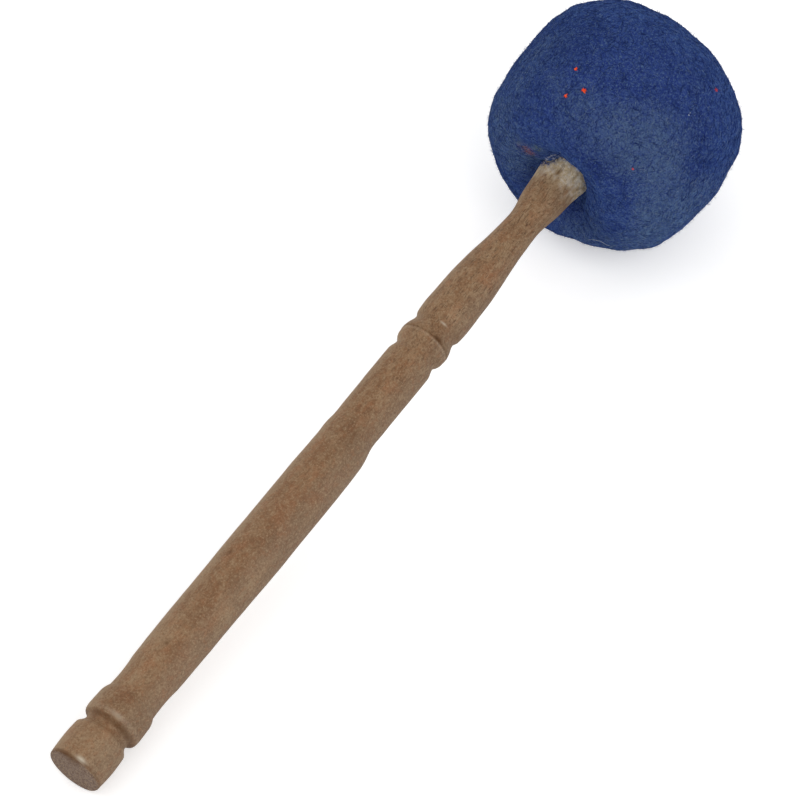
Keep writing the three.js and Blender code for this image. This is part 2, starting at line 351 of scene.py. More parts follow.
def turn_double_bead(outline, sizes):
    outline.soft_step(sizes.notch_radius, sizes.notch_length)
    outline.soft_step(sizes.bead_radius, sizes.bead_rise_length)
    outline.line(sizes.bead_radius, sizes.bead_crest_length)
    outline.line(sizes.bead_line_radius, sizes.bead_line_half_length)
    outline.mark("bead_line")
    outline.line(sizes.bead_radius, sizes.bead_line_half_length)
    outline.soft_step(sizes.notch_radius, sizes.bead_fall_length)
    outline.mark("far_notch")


def turn_neck(outline, sizes):
    belly, waist, lip = sizes.vase_belly_radius, sizes.neck_waist_radius, sizes.lip_radius
    outline.soft_step(sizes.vase_arris_radius, sizes.vase_arris_length)
    outline.step = NECK_STEP
    outline.pull(belly, sizes.vase_belly_length, belly, BELLY_PULL_SHARE)
    outline.sweep(waist, sizes.vase_fall_length, VASE_START_SHARE, VASE_END_SHARE)
    flared = waist + (lip - waist) * FLARE_END_RISE_SHARE
    outline.sweep(lip, sizes.flare_length, FLARE_START_SHARE, FLARE_END_SHARE, flared)


def turn_tenon(outline, sizes):
    rings, radius, chamfer = sizes.key_ring_count, sizes.tenon_radius, sizes.tenon_tip_chamfer
    land_length = (sizes.tenon_length - chamfer - rings * sizes.key_ring_width) / (rings + 1)
    outline.line(radius, 0)
    for _ in range(rings):
        outline.line(radius, land_length)
        outline.bow(radius, sizes.key_ring_width, radius - sizes.key_ring_depth)
    outline.line(radius, land_length)
    outline.line(radius - chamfer, chamfer)


def stick_outline(sizes):
    """The outline from the butt up to the lip's rim."""
    outline = Outline(FINE_STEP)
    turn_knob(outline, sizes)
    turn_collar(outline, sizes)
    outline.step = GRIP_STEP
    turn_grip(outline, sizes)
    outline.step = FINE_STEP
    turn_double_bead(outline, sizes)
    turn_neck(outline, sizes)
    return outline


# What the hand and the years did to the turning

WAVE_LENGTH = 21 * MM
WAVE_HEIGHT = 0.13 * MM
OVAL_LENGTH = 60 * MM
OVAL_HEIGHT = 0.07 * MM
OVAL_SWING = 4
DENT_LENGTH = 4.5 * MM
DENT_HEIGHT = 0.05 * MM
# Where the tool went too deep or not deep enough: the station, the spread and the height in mm
TOOL_SLIPS = in_metres(
    (1.5, 4, -0.14),
    (66, 11, -0.17),
    (136.5, 4.2, -0.47),
    (169.2, 1.5, -0.42),
    (173.4, 0.5, 0.26),
    (191, 6, -0.16),
    (227, 5.5, -0.55),
    (237, 5, 0.25),
    (247, 5, 0.3),
)
# How far the stick wanders to the side: stations along it and the offsets there, in mm
WANDER = in_metres(
    (0, 0), (47, 0.15), (97, 0.55), (127.5, 0.65), (135, 0), (204, 0), (228, 0.42), (239, 0.4)
)


def bell(distance, spread):
    return math.exp(-((distance / spread) ** 2))


def eased(value, low, high):
    share = min(1, max(0, (value - low) / (high - low)))
    return share * share * (3 - 2 * share)


def wander(station):
    offset = 0
    for (start, before), (end, after) in zip(WANDER, WANDER[1:]):
        offset += (after - before) * eased(station, start, end)
    return Vector((offset, 0, 0))


def bent(local):
    """From the stick's own frame, where its axis is straight, to its place in the scene."""
    return stick_place @ (local + wander(local.y))


def straightened(place):
    local = stick_place.inverted() @ place
    return local - wander(local.y)


def slipped(station):
    return sum(height * bell(station - middle, spread) for middle, spread, height in TOOL_SLIPS)


def hand_turned(point):
    """Where a point of the true turning lies on the one made by hand."""
    radial = Vector((point.x, 0, point.z))
    reach = radial.length
    if reach < MM:
        return bent(point)
    angle = math.atan2(point.z, point.x)
    growth = WAVE_HEIGHT * noise.noise((point.y / WAVE_LENGTH, 3, 7))
    growth += OVAL_HEIGHT * math.cos(2 * angle + OVAL_SWING * noise.noise((point.y / OVAL_LENGTH, 11, 2)))
    growth += DENT_HEIGHT * noise.noise(point / DENT_LENGTH)
    growth += slipped(point.y)
    return bent(point + radial * (growth / reach))


# Meshes

SEAM_GAP = 0.002 * MM


def linked(name, data):
    """A new object in the scene."""
    item = bpy.data.objects.new(name, data)
    bpy.context.scene.collection.objects.link(item)
    return item


def sewn(body, gap):
    """Merges the vertices that lie together and turns every face outward."""
    bmesh.ops.remove_doubles(body, verts=body.verts, dist=gap)
    bmesh.ops.recalc_face_normals(body, faces=body.faces)


def turned_body(points, sides):
    """A body of revolution about the local Y axis."""
    body = bmesh.new()
    line = [body.verts.new((radius, station, 0)) for radius, station in points]
    edges = [body.edges.new(pair) for pair in zip(line, line[1:])]
    bmesh.ops.spin(
        body, geom=line + edges, cent=(0, 0, 0), axis=(0, 1, 0), angle=FULL_TURN, steps=sides, use_merge=True
    )
    sewn(body, SEAM_GAP)
    return body


def finished_piece(name, body, materials, replaced=()):
    """Makes the mesh a piece that rides on the mallet's one body."""
    mesh = bpy.data.meshes.new(name)
    body.to_mesh(mesh)
    body.free()
    for material in materials:
        mesh.materials.append(material)
    mesh.shade_smooth()
    piece = linked(name, mesh)
    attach(piece, "root")
    if replaced:
        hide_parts(*replaced)


# Finishes

class Nodes:
    """A node tree that is put together node by node."""

    def __init__(self, owner):
        owner.use_nodes = True
        self.tree = owner.node_tree

    def feed(self, socket, value):
        if isinstance(value, bpy.types.NodeSocket):
            self.tree.links.new(value, socket)
        else:
            socket.default_value = value

    def add(self, kind, settings=None, **inputs):
        node = self.tree.nodes.new("ShaderNode" + kind)
        for key, value in (settings or {}).items():
            setattr(node, key, value)
        for key, value in inputs.items():
            self.feed(node.inputs[key.replace("_", " ")], value)
        return node

    def maths(self, operation, *values, kind="Math"):
        node = self.add(kind, {"operation": operation})
        for socket, value in zip(node.inputs, values):
            self.feed(socket, value)
        return node.outputs[0]


class Finish(Nodes):
    """A procedural material."""

    def __init__(self, name, roughness, **constants):
        self.material = bpy.data.materials.new(name)
        super().__init__(self.material)
        self.surface = self.tree.nodes["Principled BSDF"]
        for socket, value in {"Roughness": roughness, **constants}.items():
            self.surface.inputs[socket.replace("_", " ")].default_value = value

    def place(self):
        """Object coordinates."""
        return self.add("TexCoord").outputs["Object"]

    def stick_coordinates(self):
        """Object coordinates turned so that Y runs along the stick from its butt."""
        return self.add(
            "Mapping",
            {"vector_type": "TEXTURE"},
            Vector=self.place(),
            Location=butt_centre,
            Rotation=stick_turn.to_euler(),
        ).outputs["Vector"]

    def noise(self, vector, length=1, detail=3, roughness=0.55, distortion=0):
        return self.add(
            "TexNoise",
            Vector=vector,
            Scale=1 / length,
            Detail=detail,
            Roughness=roughness,
            Distortion=distortion,
        ).outputs["Fac"]

    def grain(self, vector, across, along, **kind):
        """A noise that is drawn out along Y."""
        scale = (1 / across, 1 / along, 1 / across)
        return self.noise(self.maths("MULTIPLY", vector, scale, kind="VectorMath"), **kind)

    def spread(self, value, low, high, to_low=0, to_high=1):
        """The value between low and high, stretched to another range and held in it."""
        ends = {"From_Min": low, "From_Max": high, "To_Min": to_low, "To_Max": to_high}
        node = self.add("MapRange", {"interpolation_type": "SMOOTHSTEP"}, Value=value, **ends)
        return node.outputs["Result"]

    def mixed(self, factor, first, second):
        node = self.add("Mix", {"data_type": "RGBA"})
        sockets = {socket.identifier: socket for socket in (*node.inputs, *node.outputs)}
        self.feed(sockets["Factor_Float"], factor)
        for name, value in (("A_Color", first), ("B_Color", second)):
            self.feed(sockets[name], value if isinstance(value, bpy.types.NodeSocket) else (*value, 1))
        return sockets["Result_Color"]

    def layered(self, base, *layers):
        """The base under layers of other colours, each by an attribute, a share or a pattern's spread."""
        for tint, share, *span in layers:
            if isinstance(share, str):
                share = self.add("Attribute", {"attribute_name": share}).outputs["Fac"]
            base = self.mixed(self.spread(share, *span) if span else share, base, tint)
        return base

    def coloured(self, base, *layers):
        self.feed(self.surface.inputs["Base Color"], self.layered(base, *layers))

    def bumped(self, height, distance):
        node = self.add("Bump", Height=height, Distance=distance)
        self.feed(self.surface.inputs["Normal"], node.outputs["Normal"])


def wood_finish(colours):
    """Brown hardwood: blotches, short streaks and pores, painted light and shade on its two sides, grime with
    painted shade, rubbed edges with painted highlights, a glued end.
    """
    finish = Finish("turned_wood", 0.6, Specular_IOR_Level=0.3)
    along = finish.stick_coordinates()
    parts = finish.add("SeparateXYZ", Vector=along).outputs
    openness = finish.spread(parts["Y"], 110 * MM, 215 * MM, 0.25, 1)
    clouds = finish.grain(along, 3.6 * MM, 8 * MM, detail=4, distortion=0.6)
    patches = finish.grain(along, 5 * MM, 11 * MM)
    streaks = finish.grain(along, 1 * MM, 6 * MM)
    freckles = finish.grain(along, 1.5 * MM, 2 * MM, roughness=0.7)
    mottle = finish.grain(along, 0.6 * MM, 0.7 * MM, roughness=0.85)
    pores = finish.grain(along, 0.3 * MM, 2.4 * MM, detail=1)
    pore_depth = finish.maths("MULTIPLY", finish.spread(pores, 0.6, 0.7, 0, 0.9), openness)
    streak_depth = finish.maths("MULTIPLY", finish.spread(streaks, 0.32, 0.5, 0.35, 0), openness)
    streak_light = finish.maths("MULTIPLY", finish.spread(streaks, 0.52, 0.68, 0, 0.3), openness)
    finish.coloured(
        colours.wood_shade,
        (colours.wood, clouds, 0.4, 0.58),
        (colours.wood_red, patches, 0.5, 0.68, 0, 0.5),
        # Painted light and shade: the +X side is painted grey as shade and the -X side pale as light.
        (colours.shaded_side_grey, parts["X"], 2.5 * MM, 8 * MM, 0, 0.6),
        (colours.wood_pale, parts["X"], -8 * MM, -2 * MM, 0.8, 0),
        (colours.wood_pale, parts["Y"], 165 * MM, 225 * MM, 0, 0.12),
        (colours.wood_red, "warm"),
        (colours.wood_dark, "dark"),
        (colours.wood_pale, "pale"),
        (colours.wood_dark, streak_depth),
        (colours.wood_pale, streak_light),
        (colours.wood_red, freckles, 0.34, 0.5, 0.3, 0),
        (colours.wood_pale, freckles, 0.5, 0.66, 0, 0.3),
        (colours.wood_dark, mottle, 0.3, 0.5, 0.66, 0),
        (colours.wood_pale, mottle, 0.5, 0.7, 0, 0.7),
        (colours.wood_dark, pore_depth),
        (glue_colour(finish, along, colours), "glued"),
        # Rubbed edges and painted highlights.
        (colours.rubbed_and_highlight, "rubbed_and_highlight"),
        # Grime, and painted shade in the grooves and along the arrises.
        (colours.grime_and_shade, "grime_and_shade"),
    )
    relief = finish.maths("SUBTRACT", mottle, finish.maths("MULTIPLY", pore_depth, 0.8))
    finish.bumped(relief, 0.12 * MM)
    return finish.material


def glue_colour(finish, along, colours):
    """Uneven dried glue over wood, with fine cracks that run with the grain."""
    clouds = finish.noise(along, 1.5 * MM, detail=4, roughness=0.7)
    cracks = finish.grain(along, 0.45 * MM, 5 * MM, detail=2, distortion=0.3)
    return finish.layered(
        colours.glue_stain,
        (colours.glue, clouds, 0.42, 0.6),
        (colours.wood_pale, clouds, 0.28, 0.42, 0.5, 0),
        (colours.wood_dark, cracks, 0.62, 0.72, 0, 0.5),
    )


def end_grain_finish(colours):
    """The butt's face: darker, greyer, with the ends of the pores as fine specks."""
    finish = Finish("end_grain", 0.8, Specular_IOR_Level=0.2)
    place = finish.stick_coordinates()
    specks = finish.noise(place, 0.85 * MM, roughness=0.85)
    finish.coloured(
        colours.end_grain,
        (colours.wood_dark, finish.noise(place, 3 * MM), 0.3, 0.6, 0.25, 0),
        (colours.wood_dark, specks, 0.5, 0.6, 0, 0.6),
        (colours.wood_pale, specks, 0.4, 0.5, 0.6, 0),
        # Grime, and painted shade along the arris.
        (colours.grime_and_shade, "grime_and_shade"),
    )
    finish.bumped(specks, 0.12 * MM)
    return finish.material


def glue_finish(colours):
    """Dried glue, pale and uneven."""
    finish = Finish("dried_glue_crust", 0.5, Specular_IOR_Level=0.35)
    along = finish.stick_coordinates()
    glued = glue_colour(finish, along, colours)
    finish.coloured(glued, (colours.wood_pale, "thin"), (colours.grime_and_shade, "grime_and_shade"))
    finish.bumped(finish.noise(along, 0.5 * MM), 0.15 * MM)
    return finish.material


def felt_finish(colours):
    """Dyed wool, felted: clouds of dark and pale wool under a fine matted grain."""
    sheen = {"Sheen_Weight": 0.22, "Sheen_Roughness": 0.5, "Sheen_Tint": (0.1, 0.34, 0.8, 1)}
    finish = Finish("blue_felt", 0.95, Specular_IOR_Level=0.1, **sheen)
    place = finish.place()
    clouds = finish.noise(place, 20 * MM, distortion=0.6)
    wisps = finish.noise(place, 3 * MM, detail=5, roughness=0.7, distortion=1.8)
    matting = finish.noise(place, 0.6 * MM, roughness=0.8, distortion=0.8)
    finish.coloured(
        colours.felt_dark,
        (colours.felt, clouds, 0.36, 0.56),
        # Worn wool with painted light; lower where painted shade is set.
        (colours.felt_pale, "worn_and_lit"),
        (colours.felt_pale, wisps, 0.52, 0.74, 0, 0.5),
        (colours.felt_dark, wisps, 0.28, 0.46, 0.55, 0),
        (colours.felt_dark, matting, 0.38, 0.5, 1, 0),
        (colours.felt_pale, matting, 0.5, 0.62, 0, 0.9),
        (colours.rust_wool, "rust"),
        (colours.olive_wool, "olive"),
    )
    finish.bumped(matting, 0.4 * MM)
    return finish.material


def core_finish(colours):
    """Undyed and mixed waste wool under the dyed layer."""
    finish = Finish("core_wool", 0.96, Specular_IOR_Level=0.15, Sheen_Weight=0.15)
    place = finish.place()
    clouds = finish.noise(place, 9 * MM, detail=4, distortion=0.8)
    matting = finish.noise(place, 1.2 * MM, detail=4, roughness=0.7, distortion=0.8)
    finish.coloured(
        colours.core,
        (colours.red_wool, clouds, 0.56, 0.7, 0, 0.7),
        (colours.wood_dark, matting, 0.3, 0.6, 0.5, 0),
    )
    finish.bumped(matting, 0.3 * MM)
    return finish.material


def fibre_finish(name, shade, tip_shade):
    """Wool fibre whose colour wanders between two shades."""
    finish = Finish(name, 0.9, Specular_IOR_Level=0.1, Sheen_Weight=0.15, Sheen_Tint=(0.15, 0.4, 0.85, 1))
    finish.coloured(shade, (tip_shade, finish.noise(finish.place(), 0.8 * MM, detail=2), 0.38, 0.62))
    return finish.material


# Handle

HANDLE_SIDES = 116
END_FACE = 0.42 * MM
# Where grime and painted shade darken the grooves and arrises, and where edges are rubbed pale and painted
# highlights lie: a mark on the outline, how far past it the middle lies and how far it spreads, in mm, and
# how strong it is
GRIME_AND_SHADE = (
    ("butt_arris", -0.2, 0.45, 0.6),
    ("collar_edge", -0.75, 0.75, 0.6),
    ("collar_edge", -2.2, 1.5, 0.12),
    ("bead_line", 0, 0.42, 0.3),
    ("bead_line", 1, 0.9, 0.22),
    ("far_notch", 0, 1.6, 0.12),
)
# Rubbed edges that also hold painted highlights.
RUBBED_AND_HIGHLIGHT = (
    ("collar_edge", 1.1, 0.7, 0.08),
    ("bead_line", -0.85, 0.3, 0.15),
)
DARKENED = (("collar_edge", 5, 6, 0.2),)
# Single places: a pixel of the photograph, how far each spreads along and round the stick, in mm, and how
# strong it is. First the knots, cracks and open pores; the first three are painted shade along the upper left
# of the butt's arris.
GRIME_AND_SHADE_SPOTS = (
    (59.1, 749.9, 0.5, 2.6, 0.5),
    (67.5, 755.5, 0.5, 2.6, 0.5),
    (75.7, 761.2, 0.5, 2.2, 0.4),
    (230.5, 551.7, 0.9, 0.8, 0.9),
    (166.8, 643, 0.8, 0.7, 0.85),
    (438, 339, 0.7, 1.5, 0.95),
    (558.3, 172.6, 2, 0.4, 0.95),
    (574.5, 178, 1.4, 0.4, 0.85),
    (539.5, 191.5, 4, 0.4, 0.35),
    (546.5, 187, 2.5, 0.4, 0.3),
    (553, 190.5, 3, 0.4, 0.25),
    (521.5, 212.5, 2.2, 0.45, 0.5),
    (476, 273, 2.2, 0.4, 0.45),
    (403, 379, 2.5, 0.4, 0.4),
    (354, 436, 5, 0.6, 0.45),
)
# Painted highlights: on the butt's arris, past the double bead and on the collar.
HIGHLIGHT_SPOTS = (
    (80.7, 760, 0.8, 1.6, 0.95),
    (443.6, 323.7, 0.3, 1.1, 0.7),
    (117, 715, 0.8, 2.2, 0.25),
)
DARK_SPOTS = (
    (129, 696, 2, 3, 0.3),
    (146, 675, 2.2, 2.2, 0.25),
    (203, 615, 5, 3, 0.25),
    (230, 583, 4, 2.5, 0.3),
    (254, 542, 3, 2, 0.3),
    (270, 540, 3.5, 2, 0.3),
    (350, 440, 9, 5, 0.38),
    (352, 424, 3, 1.2, 0.3),
    (290, 508, 10, 6, 0.32),
    (104, 763, 4, 4, 0.3),
    (124, 711, 4, 6, 0.15),
)
PALE_SPOTS = (
    (95, 745, 6, 7, 0.4),
    (135, 678, 3, 2.5, 0.4),
    (168, 632, 9, 3, 0.35),
    (227, 615, 5, 2.2, 0.45),
    (253, 582, 5, 2, 0.35),
    (453, 316, 2.5, 3, 0.35),
    (412, 340, 3, 3, 0.35),
    (547, 178.5, 4, 3, 0.4),
    (555, 182, 4, 3.5, 0.5),
)
WARM_SPOTS = (
    (489, 276, 4, 3, 0.7),
    (314, 500, 3, 1.8, 0.5),
    (281, 509, 5, 3, 0.4),
    (215, 619, 5, 1.8, 0.45),
    (70, 729, 3, 3, 0.4),
)
GLUED_LENGTH = 12 * MM
UNEVENNESS_LENGTH = 3.5 * MM
RAGGED_ROUND = 1 * MM
RAGGED_ALONG = 1.8 * MM
RAGGED_CLOUD = 2.4 * MM
WOOD_LAYERS = {
    "grime_and_shade": (GRIME_AND_SHADE_SPOTS, GRIME_AND_SHADE),
    "rubbed_and_highlight": (HIGHLIGHT_SPOTS, RUBBED_AND_HIGHLIGHT),
    "dark": (DARK_SPOTS, DARKENED),
    "pale": (PALE_SPOTS, ()),
    "warm": (WARM_SPOTS, ()),
}


def spot_places(tree, spots):
    """The spots with their pixels turned into places in the stick's own frame."""
    places = []
    for column, row, along, across, strength in spots:
        hit = tree.ray_cast(camera_place, pixel_ray((column, row)).normalized())[0]
        places.append((straightened(hit), along * MM, across * MM, strength))
    return places


def marked(local, places, outline=None, rows=()):
    """How strong the single places and the marks on the outline are at a point of the stick."""
    unevenness = 0.8 + 0.6 * noise.noise(local / UNEVENNESS_LENGTH)
    total = unevenness * sum(
        strength * bell(local.y - outline.marks[name] - past * MM, spread * MM)
        for name, past, spread, strength in rows
    )
    for place, along, across, strength in places:
        apart = local - place
        total += strength * bell(apart.y, along) * bell(math.hypot(apart.x, apart.z), across)
    return min(1, max(0, total))


def glued_share(local, mouth):
    """How much glue the wood has soaked up at a point of the stick, with a ragged edge."""
    reach = 1 - (mouth - local.y) / GLUED_LENGTH
    raggedness = 0.5 * noise.noise((local.x / RAGGED_ROUND, local.y / RAGGED_ALONG, local.z / RAGGED_ROUND))
    raggedness += 0.4 * noise.noise(local / RAGGED_CLOUD)
    return min(1, max(0, 1.4 * reach - 0.35 + 0.7 * raggedness))


def build_handle(context):
    settings = context.scene.mallet
    outline = stick_outline(settings.handle)
    mouth = outline.end.y - settings.head.lip_in_felt
    outline.step = TENON_STEP
    turn_tenon(outline, settings.handle)
    outline.line(0, 0)
    body = turned_body(outline.points, HANDLE_SIDES)
    for name in ("glued", *WOOD_LAYERS):
        body.verts.layers.float.new(name)
    for face in body.faces:
        face.material_index = 1 if all(vert.co.y < END_FACE for vert in face.verts) else 0
    straight = [vert.co.copy() for vert in body.verts]
    for vert, local in zip(body.verts, straight):
        vert.co = hand_turned(local)
        vert[body.verts.layers.float["glued"]] = glued_share(local, mouth)
    tree = BVHTree.FromBMesh(body)
    for name, (spots, rows) in WOOD_LAYERS.items():
        layer = body.verts.layers.float[name]
        places = spot_places(tree, spots)
        for vert, local in zip(body.verts, straight):
            vert[layer] = marked(local, places, outline, rows)
    materials = [wood_finish(settings.colours), end_grain_finish(settings.colours)]
    finished_piece("handle_wood", body, materials, ["handle"])


# Glue

GLUE_SIDES = 112
CRUST_SINK = 0.25 * MM
CRUST_PATCH = 1.9 * MM
CRUST_FINE_PATCH = 0.8 * MM


def glue_points(settings, outline):
    """The cast's section, inside and then outside, and the station where the crust starts."""
    sizes, glue, head = settings.handle, settings.glue, settings.head
    lip_station = outline.end.y
    crust_start = lip_station - head.lip_in_felt - glue.crust_length
    lip = [point for point in outline.points if point.y > crust_start]
    bore = sizes.tenon_radius + head.fit_gap
    tip = lip_station + sizes.tenon_length + head.fit_gap
    web = lip_station + head.fit_gap
    inside = [
        (0, tip),
        (bore - sizes.tenon_tip_chamfer, tip),
        (bore, tip - sizes.tenon_tip_chamfer),
        (bore, web),
        (sizes.lip_radius - CRUST_SINK, web),
        *((point.x - CRUST_SINK, point.y) for point in reversed(lip)),
    ]
    outside = [
        *((point.x, point.y) for point in lip),
        (sizes.lip_radius, web + glue.thickness),
        (bore + glue.thickness, web + glue.thickness),
        (bore + glue.thickness, tip + glue.thickness),
        (0, tip + glue.thickness),
    ]
    return inside + outside, crust_start


def surface_of(name):
    """A finished piece as a tree to find places on."""
    body = bmesh.new()
    body.from_mesh(bpy.data.objects[name].data)
    tree = BVHTree.FromBMesh(body)
    body.free()
    return tree


def build_glue(context):
    settings = context.scene.mallet
    outline = stick_outline(settings.handle)
    points, start = glue_points(settings, outline)
    body = turned_body(points, GLUE_SIDES)
    grime_and_shade = body.verts.layers.float.new("grime_and_shade")
    thin = body.verts.layers.float.new("thin")
    grime_and_shade_places = spot_places(surface_of("handle_wood"), GRIME_AND_SHADE_SPOTS)
    for vert in body.verts:
        vert[grime_and_shade] = marked(vert.co, grime_and_shade_places)
        radial = Vector((vert.co.x, 0, vert.co.z))
        on_lip = start < vert.co.y < outline.end.y
        section = next((point for point in outline.points if point.y > vert.co.y), outline.end)
        if on_lip and radial.length > section.x - CRUST_SINK / 2:
            rise = (vert.co.y - start) / settings.glue.crust_length
            patch = noise.noise(vert.co / CRUST_PATCH) + 0.6 * noise.noise(vert.co / CRUST_FINE_PATCH)
            cover = min(1, max(-1, 1.6 * patch + 1.5 * rise - 0.9))
            vert[thin] = 1 - eased(rise + 0.3 * patch, -0.1, 0.6)
            vert.co += radial.normalized() * (settings.glue.crust_thickness * cover)
        vert.co = hand_turned(vert.co)
    finished_piece("glue_crust", body, [glue_finish(settings.colours)], ["dried_glue"])


# Ball

FACE_CUTS = 127
CAVITY_SHARE = 0.12
MOUTH_GAP = 0.08 * MM
MOUTH_ROLL = 0.8 * MM
MOUTH_HOLD = 9 * MM
MOUTH_EASE = 26 * MM
MOUTH_SLANT = 0.1
MOUTH_SLANT_SPREAD = 15 * MM
# How the mouth's edge wanders along the stick: a bearing round it, how far the move spreads to either
# side of it, both in degrees, and how far it goes in mm. The first is the lap over the wood.
LAPS = (
    (133, 28, -2.4),
    (113, 13, -2.1),
    (90, 12, 1.4),
    (69, 8, -0.7),
    (46, 22, 1.3),
    (12, 16, 0.8),
)
SECTION_STEPS = 160
CORE_RINGS = 60
CORE_SIDES = 96
CORE_LUMP_LENGTH = 4 * MM
CORE_LUMP_HEIGHT = 0.2 * MM
ROLL_STEPS = 12
BORE_EASE = (0.01, 0.05)
WOOD_HOLD = 4 * MM
BORE_EDGE = 0.1 * MM
FLOOR_TOUCH = 0.02 * MM
PRESSED_HEIGHT = 7 * MM
# The wool's lumps: how long and how high they are, in mm
LUMPS = in_metres((15, 0.5), (5.5, 0.3), (2, 0.17), (0.9, 0.07))
# How high the ball's rim stands in the photograph in mm, every 12 degrees clockwise from the right, and how
# far towards the camera and away from it this reaches.
RIM_HEIGHTS = (
    (0.77, 0.19, -1.1, -0.5, -0.26, 0.17, 0.5, -0.42, -0.75, -0.25)
    + (1.4, 2.6, 1.47, 1.3, 0.53, 0.55, -0.01, -1.53, -1.42, -0.94)
    + (0.05, 0.66, 0.18, 0, -0.95, -0.45, -0.41, 0.1, -0.05, 0.24)
)
RIM_REACH = math.radians(38)
# Where the hollow round the mouth is fuller: a pixel of the photograph, the width and the height in mm
FILLED_PLACES = ((593, 191, 8, 2.2), (600, 210, 8, 2.2))
# Paler places of the wool, partly worn wool and partly painted light on the ball's middle, left and lower
# right: a pixel of the photograph in the middle of each, how wide it is in mm and how strong. Where it is
# less than nothing, the wool is darker: painted shade in the hollow round the mouth and on the ball's right.
WORN_AND_LIT_PLACES = (
    (612, 112, 15, 0.45),
    (655, 140, 14, 0.9),
    (650, 205, 12, 0.95),
    (668, 232, 13, 1.4),
    (600, 246, 10, 0.7),
    (566, 110, 7, 0.5),
    (605, 175, 6, 0.15),
    (715, 190, 9, 0.3),
    (505, 135, 9, 0.8),
    (535, 55, 12, 0.4),
    (516, 160, 5, 0.6),
    (650, 45, 22, -1),
    (705, 85, 14, -0.55),
    (548, 138, 11, -0.7),
    (608, 203, 10, -1.6),
    (700, 165, 9, -0.4),
)
# Smudges of other wool, likewise
RUST_SMUDGE = ((529.5, 151.5, 2.2, 1), (523.5, 149, 2, 0.55))
OLIVE_SMUDGE = ((537.5, 149.5, 2, 0.9), (532, 157.5, 2.2, 0.5), (520, 143, 1.8, 0.3))


class Ball:
    """The wool's place on the stick: it leans about its mouth, but not where it holds the wood."""

    def __init__(self, settings):
        self.head = settings.head
        self.crust = settings.glue.crust_thickness
        self.outline = stick_outline(settings.handle)
        self.mouth = self.outline.end.y - self.head.lip_in_felt
        self.centre = self.put(Vector((0, 0, 0)))

    def mouth_shift(self, x, z):
        """How far along the stick the mouth lies from true at a place round it."""
        bearing = math.degrees(math.atan2(z, x))
        laps = (reach * MM * bell(bearing - middle, spread) for middle, spread, reach in LAPS)
        return MOUTH_SLANT * x + sum(laps)

    def put(self, point, held=False):
        """Where a point of the ball's own form lies, its Y along the ball's axis from its middle."""
        local = point + Vector((0, self.head.mouth_to_centre, 0))
        if not held:
            reach = local.length
            shift = self.mouth_shift(local.x, local.z) * bell(reach, MOUTH_SLANT_SPREAD)
            lean = self.head.lean * eased(reach, MOUTH_HOLD, MOUTH_EASE)
            local = Matrix.Rotation(-lean, 3, "Z") @ local
            local.y += shift
        local.y += self.mouth
        return bent(local)

    def wood_radius(self, station):
        """How far from the axis the wool clears the wood and its crust."""
        station = min(station, self.outline.end.y)
        return self.outline.radius_at(station) + slipped(station) + self.crust + MOUTH_GAP

    def fitted(self, place):
        """The place beside the wood moved to where the wool just clears it."""
        local = straightened(place)
        radial = Vector((local.x, 0, local.z))
        if abs(local.y - self.mouth) > MOUTH_HOLD or radial.length > 2 * MOUTH_HOLD:
            return place
        gap = radial.length - self.wood_radius(local.y)
        gap = max(gap, 0) * (1 - bell(gap, MM) * bell(local.y - self.mouth, WOOD_HOLD))
        return bent(Vector((0, local.y, 0)) + radial.normalized() * (self.wood_radius(local.y) + gap))


def ball_section(head, depth, hollow_depth, angle):
    """A point of the wool's form at an angle from the ball's equator, the depth below its outside."""
    power = 2 / head.squareness
    share = 1 - depth / head.radius
    radius = head.radius * max(0, math.cos(angle)) ** power
    along = abs(math.sin(angle)) ** power
    drawn_in = hollow_depth * math.exp(-((radius / head.stem_hollow_radius) ** head.stem_hollow_steepness))
    place = head.far_length * along if angle > 0 else drawn_in - head.near_length * along
    return Vector((radius * share, place * share))


def cover_section(ball):
    """The dyed layer's section: its cavity from the far end, its bore, and its outside to the far pole."""
    head = ball.head
    bore = ball.wood_radius(ball.outline.end.y)
    edge = ball.wood_radius(ball.mouth)
    angles = [math.pi * (step / SECTION_STEPS - MIDDLE_SHARE) for step in range(SECTION_STEPS + 1)]
    inner_depth = head.cover_thickness - head.layer_gap
    cavity = [ball_section(head, inner_depth, head.core_hollow_depth, a) for a in reversed(angles)]
    cavity = [p for p in cavity if p.y > 0 or p.x > bore]
    outside = [ball_section(head, 0, head.stem_hollow_depth, a) for a in angles]
    outside = [p for p in outside if p.y > 0 or p.x > edge + MOUTH_ROLL]
    slope = (outside[1] - outside[0]).normalized()
    corner = outside[0] - slope * ((outside[0].x - edge) / slope.x)
    start = Vector((edge, corner.y + MOUTH_ROLL))
    handles = (start.lerp(corner, QUADRATIC_SHARE), outside[0].lerp(corner, QUADRATIC_SHARE))
    roll = interpolate_bezier(start, *handles, outside[0], ROLL_STEPS)
    return cavity, roll[:-1] + outside


def arc_lengths(points):
    lengths = [0]
    for before, after in zip(points, points[1:]):
        lengths.append(lengths[-1] + (after - before).length)
    return lengths


def point_on(points, lengths, share):
    """The point at a share of the way along a line of points."""
    goal = share * lengths[-1]
    index = min(max(bisect.bisect_left(lengths, goal), 1), len(points) - 1)
    span = lengths[index] - lengths[index - 1]
    return points[index - 1].lerp(points[index], (goal - lengths[index - 1]) / span if span else 0)


def rounded_cube(cuts):
    """A ball of even squares."""
    body = bmesh.new()
    bmesh.ops.create_cube(body, size=2)
    bmesh.ops.subdivide_edges(body, edges=body.edges, cuts=cuts, use_grid_fill=True)
    for vert in body.verts:
        vert.co = Vector([math.tan(part * math.pi / 4) for part in vert.co]).normalized()
    return body


